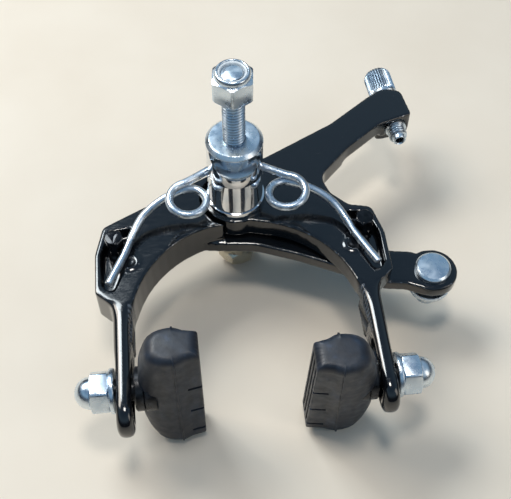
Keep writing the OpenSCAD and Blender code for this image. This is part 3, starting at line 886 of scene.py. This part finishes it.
@dataclass
class PivotStack:
    """Bolt, nuts, washers and spring block on the calliper's pivot."""

    bolt_radius: float = 3.0
    pitch: float = 1.0
    thread_depth: float = 0.58
    nut_flats: float = 10.0
    nut_turn: float = 23.5
    collar_height: float = 1.5
    ring_radius: float = 3.6

    def build(self) -> None:
        """Make and dress every piece of the stack."""
        self.bolt()
        self.mounting_nut()
        self.seat()
        self.front_nuts()
        dress(bevelled("radius_washer", 0.12), Finish.CHROME, "chrome", "pivot", "radius_washer")
        keep("arm_washer", Finish.BRASS)

    def bolt(self) -> None:
        """Threaded pivot bolt."""
        low, high = box_mm("pivot_bolt")
        points, faces, recess = threaded(
            self.bolt_radius, low[2], high[2], self.pitch, self.thread_depth
        )
        piece = mesh_piece("bolt_with_thread", points, faces, 50, recess)
        dress(piece, Finish.ZINC, "zinc", "pivot", "pivot_bolt")

    def mounting_nut(self) -> None:
        """Self-locking hexagon nut with a rolled collar, and its nylon ring."""
        low, high = box_mm("mounting_nut")
        base, height = low[2], high[2] - low[2]
        hex_height = height - self.collar_height
        hexagon, faces = hexed(self.nut_flats, hex_height, self.bolt_radius + 0.02)
        turn = Matrix.Rotation(math.radians(self.nut_turn), 4, "Z")
        outer = self.nut_flats / 2
        collar = eased(
            [
                (self.ring_radius, hex_height - 0.6), (outer - 0.35, hex_height - 0.6),
                (outer - 0.35, hex_height + 0.7), (outer - 0.75, height - 0.1),
                (self.ring_radius + 0.15, height), (self.ring_radius, height - 0.5),
                (self.ring_radius, hex_height - 0.55),
            ],
            0.35,
            4,
        )
        shell = turned(collar, 96, True)
        points, faces = join(
            [(placed(hexagon, (0, 0, base), turn), faces), (placed(shell[0], (0, 0, base)), shell[1])]
        )
        piece = mesh_piece("locking_hex_nut", points, faces)
        dress(piece, Finish.ZINC, "zinc", "pivot", "mounting_nut")
        low, high = box_mm("nut_locking_ring")
        ring = eased(
            [
                (self.bolt_radius, low[2]), (self.ring_radius, low[2]), (self.ring_radius, high[2]),
                (self.bolt_radius + 0.1, high[2] - 0.2), (self.bolt_radius, high[2] - 0.5),
                (self.bolt_radius, low[2] + 0.05),
            ],
            0.2,
        )
        piece = mesh_piece("nylon_ring", *turned(ring, 72, True))
        dress(piece, Finish.NYLON, "white_plastic", "pivot", "nut_locking_ring")

    def seat(self) -> None:
        """Bevelled seat washer with its collar, and the spring block with its foot."""
        low, high = box_mm("seat_washer")
        outer = high[0]
        washer = eased(
            [
                (self.bolt_radius, low[2] + 0.05), (self.bolt_radius, high[2]), (outer - 1, high[2]),
                (outer, high[2] - 0.95), (outer, high[2] - 1.2), (4.3, high[2] - 1.2), (4.3, low[2]),
                (self.bolt_radius, low[2]),
            ],
            0.15,
        )
        piece = mesh_piece("bevelled_seat", *turned(washer, 96, True))
        dress(piece, Finish.ZINC, "zinc", "pivot", "seat_washer")
        dress(bevelled("spring_block", 0.12), Finish.CHROME, "chrome", "pivot", "spring_block")

    def front_nuts(self) -> None:
        """Front washer, adjusting nut, lock nut and cap nut, seen below the arms."""
        keep("front_washer", Finish.ZINC)
        for node, turn in (("adjusting_nut", 8.0), ("lock_nut", 40.0)):
            low, high = box_mm(node)
            points, faces = hexed(self.nut_flats, high[2] - low[2], self.bolt_radius + 0.02)
            points = placed(points, (0, 0, low[2]), Matrix.Rotation(math.radians(turn), 4, "Z"))
            dress(mesh_piece(node + "_piece", points, faces), Finish.NICKEL, "nickel", "pivot", node)
        keep("front_cap_nut", Finish.NICKEL)


@dataclass
class ReturnSpring:
    """One wire bent to a loop on each side, whose arms push the two legs apart."""

    wire_radius: float = 1.1
    back_y: float = 4.5
    exit_xy: tuple[float, float] = (7.6, 0.4)
    loop_radius: float = 5.0
    loop_xy: tuple[float, float] = (13.5, -7.6)
    loop_fall: float = 2.6
    loop_start: float = 88.0
    loop_turn: float = 368.0
    block_top: float = -12.1
    wire_drop: float = 1.8
    hook_out: float = 39.9
    arm_top: float = -25.05

    def half(self) -> np.ndarray:
        """Centreline of the right half, from behind the bolt to the hook.

        It is an arc behind the bolt, the loop c + r (cos a, sin a) falling evenly, and a
        Catmull-Rom curve through the arm's knots.

        Returns:
            Points in millimetres, about 0.4 mm apart.
        """
        top = self.block_top - self.wire_drop
        ex, ey = self.exit_xy
        centre = (ex * ex + ey * ey - self.back_y**2) / (2 * (ey - self.back_y))
        bend = self.back_y - centre
        a = np.radians(np.arange(0, 50, 2.0))
        back = np.stack([bend * np.sin(a), centre + bend * np.cos(a), top + 0 * a], -1)
        t = np.linspace(0, 1, 90, endpoint=False)
        a = np.radians(self.loop_start - t * self.loop_turn)
        loop = np.stack(
            [
                self.loop_xy[0] + self.loop_radius * np.cos(a),
                self.loop_xy[1] + self.loop_radius * np.sin(a),
                top - self.loop_fall * t,
            ],
            -1,
        )
        low = self.arm_top + self.wire_radius + 0.55
        end = self.loop_start - self.loop_turn
        knots = [
            [
                self.loop_xy[0] + self.loop_radius * math.cos(math.radians(end + back_by)),
                self.loop_xy[1] + self.loop_radius * math.sin(math.radians(end + back_by)),
                top - self.loop_fall * (1 - back_by / self.loop_turn),
            ]
            for back_by in (24, 0)
        ]
        knots += [
            [20.9, -4.5, top - 4.4], [26.2, -7.9, top - 6.6], [29.5, -13, low + 0.9],
            [self.hook_out - 8.1, -18.4, low + 0.3], [self.hook_out - 3.8, -27.2, low],
            [self.hook_out - 1, -33.2, low],
        ]
        k = np.array(knots)
        t = np.linspace(0, 1, 16, endpoint=False)[:, None]
        arm = [
            0.5
            * (2 * b + (c - a) * t + (2 * a - 5 * b + 4 * c - d) * t**2
               + (3 * b - a - 3 * c + d) * t**3)
            for a, b, c, d in zip(k[:-3], k[1:-2], k[2:-1], k[3:])
        ]
        route = np.concatenate([back, loop, *arm, k[-2:-1]])
        for _ in range(3):
            route[1:-1] = (route[:-2] + 2 * route[1:-1] + route[2:]) / 4
        length = np.concatenate([[0], np.cumsum(np.linalg.norm(np.diff(route, axis=0), axis=1))])
        even = np.linspace(0, length[-1], int(length[-1] / 0.4))
        return np.stack([np.interp(even, length, route[:, i]) for i in range(3)], -1)

    def build(self) -> None:
        """Make each half as a piece, a wire that runs from the pivot to its own arm."""
        for side in Side:
            path = self.half()
            if side is Side.LEFT:
                path = path * np.array([-1, 1, 1])
            piece = mesh_piece(side.word + "_spring_half", *along(path, self.wire_radius))
            piece.data.materials.append(Finish.WIRE.material())
            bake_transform(piece)
            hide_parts("return_spring")
            count = len(piece.data.polygons)
            LOG.info("%s: %d faces, bends to body %s", piece.name, count, side.arm_body)


@dataclass
class Arms:
    """The two forged arms and the posts that the spring bears on."""

    voxel: float = 0.34
    passes: int = 5
    leg_passes: int = 110
    leg_from: float = -31.0
    # Fillings of the forgings: between boss and hook, and along the short limb
    web: tuple[tuple[float, float], ...] = (
        (12.0, -0.8), (25.0, -4.6), (26.2, -13.8), (17.0, -10.9), (12.0, -8.4)
    )
    web_depth: float = 2.4
    web_top: float = -25.07
    neck: tuple[tuple[float, float], ...] = (
        (37.0, -25.5), (38.5, -28.4), (44.5, -29.3), (50.0, -31.9), (52.0, -28.0), (46.0, -24.0)
    )
    neck_low: float = -35.84
    neck_top: float = -32.07
    strip_x: tuple[float, float] = (30.45, 31.6)
    strip_y: tuple[float, float] = (-43.4, -33.0)
    strip_z: tuple[float, float] = (-35.6, -26.4)
    strip_pitch: float = 1.1
    strip_depth: float = 0.45

    def serrations(self, side: Side) -> tuple[np.ndarray, list]:
        """Diagonal grip ridges forged across the leg's inner face.

        The face stands at x = low + depth |2 frac((y - 0.5 z) / pitch) - 1|, sinks into the leg
        at its rim, and lies on a grid of y and z that a flat back closes.

        Args:
            side: The leg's side.

        Returns:
            Points and faces of a closed surface.
        """
        y, z = np.meshgrid(
            np.linspace(*self.strip_y, 136), np.linspace(*self.strip_z, 60), indexing="ij"
        )
        saw = np.abs(2 * np.mod((y - 0.5 * z) / self.strip_pitch, 1.0) - 1)
        rim = np.minimum(
            (y - self.strip_y[0]) * (self.strip_y[1] - y), (z - self.strip_z[0]) * (self.strip_z[1] - z)
        )
        fade = np.clip(rim / 5, 0, 1)
        low, high = self.strip_x
        x = low + self.strip_depth * saw + 0.5 * (1 - fade) ** 2
        front = np.stack([side.value * x, y, z], -1).reshape(-1, 3)
        rows, columns = y.shape
        ring = np.concatenate([
            np.arange(columns), np.arange(1, rows) * columns + columns - 1,
            (rows - 1) * columns + np.arange(columns - 2, -1, -1), np.arange(rows - 2, 0, -1) * columns,
        ])
        back = front[ring] * [0, 1, 1] + [side.value * high, 0, 0]
        index = np.arange(rows * columns).reshape(rows, columns)
        cells = np.stack([index[:-1, :-1], index[1:, :-1], index[1:, 1:], index[:-1, 1:]], -1)
        wall = len(front) + np.arange(len(ring))
        sides = np.stack([ring, np.roll(ring, -1), np.roll(wall, -1), wall], -1)
        faces = cells.reshape(-1, 4).tolist() + sides.tolist() + [wall.tolist()]
        return np.concatenate([front, back]), faces

    def build(self) -> None:
        """Round the forgings' edges and dress them and their posts."""
        for side, node in ((Side.RIGHT, "rear_arm"), (Side.LEFT, "front_arm")):
            body = side.arm_body
            web = [(side.value * x, y) for x, y in self.web]
            fills = [(web, self.web_top - self.web_depth, self.web_top)]
            if side is Side.LEFT:
                fills.append((list(self.neck), self.neck_low, self.neck_top))
            piece = softened(
                node, node.replace("_arm", "_forging"), self.voxel, self.passes,
                self.leg_passes, self.leg_from, tuple(fills),
            )
            dress(piece, Finish.PAINT, "black_paint", body, node)
            name = node.replace("_arm", "_leg_serrations")
            strip = mesh_piece(name, *self.serrations(side), sharp=25)
            dress(strip, Finish.PAINT, "black_paint", body)
        for side in Side:
            node = side.word + "_spring_post"
            dress(bevelled(node, 0.15), Finish.POST, "black_steel", side.arm_body, node)


@dataclass
class CableAnchor:
    """Bolt, washer and nut that clamp the brake cable to the front arm."""

    nut_flats: float = 8.0
    nut_height: float = 3.4
    nut_turn: float = 15.0

    def build(self) -> None:
        """Dress the anchor's pieces."""
        for node in ("anchor_bolt", "anchor_washer"):
            dress(bevelled(node, 0.15), Finish.ZINC, "zinc", "anchor", node)
        low, high = box_mm("anchor_nut")
        points, faces = hexed(self.nut_flats, self.nut_height, 3.0)
        place = ((low[0] + high[0]) / 2, (low[1] + high[1]) / 2, high[2] - self.nut_height)
        points = placed(points, place, Matrix.Rotation(math.radians(self.nut_turn), 4, "Z"))
        dress(mesh_piece("clamp_nut", points, faces), Finish.ZINC, "zinc", "anchor", "anchor_nut")


@dataclass
class Barrel:
    """Knurled barrel adjuster at the end of the rear arm's limb."""

    place: tuple[float, float, float] = (50.9, 31.0, -29.65)
    lean: float = 4.6
    tail: float = -11.0
    seat: float = 6.9
    collar: float = 1.4
    knob: float = 8.6
    thread_radius: float = 2.8
    shank_radius: float = 3.2
    knob_radius: float = 4.25
    ridges: int = 32
    ridge_depth: float = 0.5
    pitch: float = 0.9
    thread_depth: float = 0.4
    thread_end: float = -6.6
    mouth_depth: float = 7.0
    housing_radius: float = 2.65
    cable_radius: float = 1.3

    def shape(self) -> tuple[np.ndarray, np.ndarray, np.ndarray]:
        """Closed surface of rings, up the outside and back down the bore.

        On the thread the radius is r - thread_depth saw(s / pitch - a / 2 pi). On the knob it is
        r - ridge_depth |2 frac(ridges a / 2 pi) - 1|, which fades at both rims.

        Returns:
            Points in the barrel's own frame, +Z toward the cable housing, faces, and how deep
            in a groove each point lies.
        """
        angle = np.arange(self.ridges * 6) * 2 * np.pi / (self.ridges * 6)
        flat = np.ones_like(angle)
        start = self.tail + 1.4
        recess: dict[int, np.ndarray] = {}
        rings = [
            (self.cable_radius * flat, self.tail + 0.3), ((self.cable_radius + 0.3) * flat, self.tail),
            (1.75 * flat, self.tail), (1.95 * flat, self.tail + 0.25), (1.95 * flat, start),
        ]
        for s in np.arange(start + 0.1, self.thread_end, self.pitch / 8):
            saw = np.abs(2 * np.mod(s / self.pitch - angle / (2 * np.pi), 1.0) - 1)
            recess[len(rings)] = saw**1.5
            chamfer = 0.5 * max(0.0, start + 0.5 - s)
            rings.append((self.thread_radius - self.thread_depth * saw - chamfer, s))
        top = self.seat + self.collar + self.knob
        low = self.seat + self.collar
        big = self.knob_radius + 0.1
        rings += [
            (self.thread_radius * flat, self.thread_end + 0.1),
            (self.shank_radius * flat, self.thread_end + 0.4),
            (self.shank_radius * flat, self.seat),
            ((big - 0.3) * flat, self.seat), (big * flat, self.seat + 0.25),
            (big * flat, low - 0.35), ((big - 0.2) * flat, low - 0.15),
            ((big - 0.75) * flat, low - 0.1), ((big - 0.75) * flat, low + 0.15),
        ]
        tooth = np.abs(2 * np.mod(self.ridges * angle / (2 * np.pi), 1.0) - 1)
        for s in np.linspace(low + 0.2, top - 0.05, 22):
            fade = np.clip(min(s - low, top - s) / 0.7, 0, 1)
            recess[len(rings)] = tooth**1.5 * fade
            cut = 0.5 * (1 - fade) ** 2 + self.ridge_depth * tooth * fade
            rings.append((self.knob_radius - cut, s))
        rings += [
            ((self.knob_radius - 0.75) * flat, top), ((self.housing_radius + 0.25) * flat, top),
            (self.housing_radius * flat, top - 0.3),
            (self.housing_radius * flat, top - self.mouth_depth),
            (self.cable_radius * flat, top - self.mouth_depth - 0.2),
        ]
        points = np.concatenate(
            [np.stack([r * np.cos(angle), r * np.sin(angle), s + 0 * angle], -1) for r, s in rings]
        )
        depth = np.concatenate([recess.get(i, 0 * flat) for i in range(len(rings))])
        return points, grid_faces(len(rings), len(angle), True), depth

    def build(self) -> None:
        """Make the barrel and put it in its head."""
        points, faces, depth = self.shape()
        lean = Matrix.Rotation(math.radians(self.lean), 4, "Z")
        turn = lean @ Matrix.Rotation(math.radians(-90), 4, "X")
        piece = mesh_piece("knurled_barrel", placed(points, self.place, turn), faces, 38, depth)
        dress(piece, Finish.ZINC, "zinc", "barrel", "barrel_adjuster")


@dataclass
class BrakePad:
    """Rubber pad with its stud, washers and cap nut, on one leg."""

    side: Side
    face_x: float = 13.7
    ridge_x: float = 19.9
    back_x: float = 29.4
    core_x: float = 20.6
    half_length: float = 21.1
    half_height: float = 5.4
    half_face: float = 3.7
    slots: tuple[float, ...] = (5.5, -5.7, -16.4)
    slot_width: float = 0.8
    end_round: float = 2.2
    nut_flats: float = 10.0
    nut_hex: float = 4.8
    nut_turn: float = 34.0
    dome_radius: float = 4.15

    def build(self) -> None:
        """Round the rubber's edges and dress the pad's fasteners."""
        word, body = self.side.word, self.side.word + "_brake_pad"
        rubber = mesh_piece(word + "_rubber", *self.rubber(), sharp=50)
        dress(rubber, Finish.RUBBER, "rubber", body, word + "_pad")
        keep(word + "_pad_stud", Finish.BLACK)
        keep(word + "_inner_washer", Finish.BLACK)
        node = word + "_outer_washer"
        dress(bevelled(node, 0.15), Finish.ZINC, "zinc", body, node)
        self.cap_nut(word + "_cap_nut", body)

    def rubber(self) -> tuple[np.ndarray, list]:
        """Moulded rubber block: one end profile carried along the pad's length.

        The profile runs from the grooved braking face, out to the thin lip of the mould's parting
        line, and round the swollen back. Along the length, t = dz / half length, the back's depth
        is multiplied by 1 - 0.36 |t|^3.2. The whole profile shrinks toward core_x by the end's
        rounding, 0.62 + 0.38 (1 - ((|dz| - L + e) / e)^2)^0.5, over the last e = end_round. Each
        slot presses the lower side in, up to 3.4 mm from the face.

        Returns:
            Points and faces of a closed surface.
        """
        face, ridge, back = self.face_x, self.ridge_x, self.back_x
        high, low = self.half_height, self.half_face
        lip, deep = 0.4, back - ridge
        grooved = [
            (face + 0.9, 0.42), (face + 0.05, 0.5), (face, 0.7), (face, 1.55), (face + 0.05, 1.72),
            (face + 0.9, 1.8), (face + 0.9, 2.6), (face + 0.05, 2.68), (face, 2.85),
            (face, low - 0.25), (face + 0.08, low - 0.05), (face + 0.35, low + 0.06),
            (face + 1.7, low + 0.3), (face + 3.35, low + 0.62), (face + 3.5, low + 0.66),
        ]
        parting = [
            (ridge - 1.2, high - 0.3), (ridge - 0.32, high - 0.02), (ridge - 0.2, high + lip),
            (ridge + 0.2, high + lip), (ridge + 0.32, high - 0.02),
        ]
        swollen = [
            (ridge + out * deep, high - fall)
            for out, fall in ((0.25, 0.1), (0.5, 0.4), (0.7, 0.95), (0.85, 1.7), (0.95, 2.7))
        ]
        half = [*grooved, *parting, *swollen, (back - 0.05, high - 3.6), (back, high - 4.6)]
        profile = np.array([(x, -y) for x, y in half] + [(x, y) for x, y in reversed(half)])
        end = self.half_length
        stations = list(np.linspace(-end, end, 85))
        w = self.slot_width / 2
        for slot in self.slots:
            stations = [z for z in stations if abs(z - slot) > w + 0.12]
            stations += [slot + step for step in (-w - 0.06, -w, -w / 3, w / 3, w, w + 0.06)]
        stations += [-end + 0.08, -end + 0.25, end - 0.08, end - 0.25]
        z = np.sort(np.array(stations))[:, None]
        x, y = profile[:, 0][None, :] + 0 * z, profile[:, 1][None, :] + 0 * z
        t = np.abs(z) / end
        x = np.where(x > ridge, ridge + (x - ridge) * (1 - 0.36 * t**3.2), x)
        # The grooves along the face run out before its ends
        x = np.where((np.abs(x - face - 0.9) < 0.01) & (np.abs(z) > end - 4), face, x)
        near = np.clip((np.abs(z) - end + self.end_round) / self.end_round, 0, 1)
        size = 0.62 + 0.38 * np.sqrt(1 - near**2)
        x, y = self.core_x + (x - self.core_x) * size, y * size
        inside = np.min([np.abs(z - slot) for slot in self.slots], 0) < w + 0.02
        reach = (x < face + 3.4) & (y < -2.7) & inside
        y = np.where(reach, -2.5, y)
        if self.side is Side.RIGHT:
            # This pad is thicker toward its lower end, as it lies in the photograph
            x = x + (0.5 - z / end / 2) * np.clip((x - 15.8) * 0.3, -0.7, 1.2)
        turn, drop, slip = math.radians(self.side_turn), *self.shift
        y, z = y * math.cos(turn) - z * math.sin(turn), z * math.cos(turn) + y * math.sin(turn)
        low_box, high_box = box_mm(self.side.word + "_pad_stud")
        centre = (low_box + high_box) / 2
        y, z = y + centre[1] + slip, z + centre[2] + drop
        points = np.stack([self.side.value * x, y, z + 0 * x], -1)
        rows, columns = x.shape
        faces = grid_faces(rows, columns).tolist()
        faces += [list(range(columns)), list(range((rows - 1) * columns, rows * columns))]
        return points.reshape(-1, 3), faces

    @property
    def side_turn(self) -> float:
        """Turn of the rubber about its stud, in degrees, as each pad was left by hand."""
        return 5.0 if self.side is Side.RIGHT else -2.0

    @property
    def shift(self) -> tuple[float, float]:
        """Step of the rubber along +Z and +Y from its stud, in millimetres."""
        return (-0.7, -1.0) if self.side is Side.RIGHT else (-0.8, 0.0)

    def cap_nut(self, node: str, body: str) -> None:
        """Acorn nut: a chamfered hexagon with a dome on a short neck.

        Args:
            node: The CAD node that it stands for.
            body: The body that it moves with.
        """
        low, high = box_mm(node)
        length = high[0] - low[0]
        hexagon, faces = hexed(self.nut_flats, self.nut_hex, 3.02)
        a = np.radians(np.arange(0, 91, 5))
        rise = length - self.nut_hex
        curve = [
            (self.dome_radius * math.cos(t), self.nut_hex + 0.25 + (rise - 0.25) * math.sin(t))
            for t in a
        ]
        dome = turned(
            np.array([(0.0, self.nut_hex - 0.5), (self.dome_radius - 0.25, self.nut_hex - 0.5),
                      (self.dome_radius - 0.25, self.nut_hex + 0.1), *curve[:-1], (0.0, length)]), 72,
        )
        turn = Matrix.Rotation(math.radians(self.nut_turn), 4, "Z")
        points, faces = join([(placed(hexagon, (0, 0, 0), turn), faces), dome])
        # The nut's own +Z goes to world X, and its X to world -Z; the left one is mirrored
        points = np.stack([points[:, 2], points[:, 1], -points[:, 0]], -1)
        points = points * np.array([self.side.value, 1, 1])
        base = low[0] if self.side is Side.RIGHT else high[0]
        points = points + np.array([base, (low[1] + high[1]) / 2, (low[2] + high[2]) / 2])
        piece = mesh_piece(self.side.word + "_acorn_nut", points, faces, sharp=36)
        dress(piece, Finish.ZINC, "zinc", body, node)


@dataclass
class Studio:
    """Floor, lights and camera."""

    elevation: float = 54.978
    azimuth: float = 6.015
    roll: float = 0.103
    focal_px: float = 930.0
    origin_mm: tuple[float, float, float] = (-5.593, 29.311, 243.235)
    aim_m: tuple[float, float, float] = (0.0, -0.015, -0.03)
    table_half_m: float = 1.6
    # Height of the look, 0 level to 1 straight up, and the room's colour there
    room: tuple[tuple[float, str], ...] = (
        (0.0, "#2C2F35"), (0.3, "#3C434F"), (0.6, "#8DAAC0"), (0.95, "#5F7C9A")
    )

    def camera(self) -> None:
        """Camera at the photograph's place, from the angles found for it.

        The look direction is (cos e sin a, cos e cos a, -sin e), and origin_mm is the frame's
        origin in the camera's right, up and forward directions.
        """
        e, a, roll = (math.radians(x) for x in (self.elevation, self.azimuth, self.roll))
        forward = Vector((math.cos(e) * math.sin(a), math.cos(e) * math.cos(a), -math.sin(e)))
        level = Vector((math.cos(a), -math.sin(a), 0))
        upright = level.cross(forward)
        right = math.cos(roll) * level + math.sin(roll) * upright
        up = -math.sin(roll) * level + math.cos(roll) * upright
        x, y, z = self.origin_mm
        place = -(right * x + up * y + forward * z) * MM
        data = bpy.data.cameras.new("camera")
        data.sensor_width = 36
        data.lens = self.focal_px / IMAGE_SIZE[0] * 36
        data.clip_start = 0.01
        camera = bpy.data.objects.new("camera", data)
        camera.matrix_world = Matrix(
            [[right[i], up[i], -forward[i], place[i]] for i in range(3)] + [[0, 0, 0, 1]]
        )
        bpy.context.scene.collection.objects.link(camera)
        bpy.context.scene.camera = camera

    def light(
        self,
        name: str,
        place: tuple[float, float, float],
        size: tuple[float, float],
        watts: float,
        colour: str,
    ) -> None:
        """Add one soft box that faces the calliper.

        Args:
            name: The lamp's name.
            place: Where it stands, in metres.
            size: Its width and height, in metres.
            watts: Its power.
            colour: Its sRGB hex colour.
        """
        data = bpy.data.lights.new(name, "AREA")
        data.shape = "RECTANGLE"
        data.size, data.size_y = size
        data.energy = watts
        data.color = linear(colour)[:3]
        lamp = bpy.data.objects.new(name, data)
        turn = (Vector(self.aim_m) - Vector(place)).to_track_quat("-Z", "Y")
        lamp.matrix_world = Matrix.Translation(place) @ turn.to_matrix().to_4x4()
        bpy.context.scene.collection.objects.link(lamp)

    def floor(self) -> None:
        """Pale table top that the front nut stands on."""
        low = min(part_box(node)[0].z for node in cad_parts)
        half = self.table_half_m
        corners = [(x * half, y * half, low) for x, y in ((-1, -1), (1, -1), (1, 1), (-1, 1))]
        mesh = bpy.data.meshes.new("table_top")
        mesh.from_pydata(corners, [], [(0, 1, 2, 3)])
        floor = bpy.data.objects.new("table_top", mesh)
        bpy.context.scene.collection.objects.link(floor)
        material, tree, shader, place = blank_material("pale_table")
        cloud = add(tree, "TexNoise", {"Vector": place, "Scale": PER_M / 40.0, "Detail": 4.0})
        stops = [(0.3, linear("#E3D8C8")), (0.7, linear("#DDD1C0"))]
        tint = add(tree, "ValToRGB", {"Fac": cloud.outputs["Fac"]}, stops)
        tree.links.new(tint.outputs[0], shader.inputs["Base Color"])
        shader.inputs["Roughness"].default_value = 0.6
        mesh.materials.append(material)

    def build(self) -> None:
        """Set up the whole stage."""
        bpy.context.scene.view_settings.view_transform = "Standard"
        world = bpy.data.worlds.new("soft_room")
        bpy.context.scene.world = world
        world.use_nodes = True
        tree = world.node_tree
        tree.nodes.clear()
        around = add(tree, "TexCoord").outputs["Generated"]
        height = add(tree, "SeparateXYZ", {0: around}).outputs["Z"]
        stops = [(place, linear(colour)) for place, colour in self.room]
        sky = add(tree, "ValToRGB", {"Fac": height}, stops)
        back = add(tree, "Background", {"Color": sky.outputs[0], "Strength": 1.0})
        add(tree, "OutputWorld", {"Surface": back.outputs[0]})
        self.floor()
        self.light("sheen", (-0.24, 0.34, 0.54), (0.22, 0.22), 2.2, "#F2FBFF")
        self.light("window", (-0.45, 0.26, 0.54), (0.3, 0.3), 2.6, "#FFF6EA")
        self.light("overhead", (0.0, -0.03, 0.7), (0.13, 0.13), 1.5, "#FFFAF2")
        self.light("fill", (0.5, -0.35, 0.35), (0.25, 0.4), 0.6, "#FFF2E2")
        self.camera()


def main() -> None:
    """Build every sub-assembly in order."""
    logging.basicConfig(level=logging.INFO, format="%(name)s: %(message)s")
    PivotStack().build()
    ReturnSpring().build()
    Arms().build()
    Barrel().build()
    CableAnchor().build()
    for side in Side:
        BrakePad(side).build()
    Studio().build()


if __name__ == "__main__":
    main()
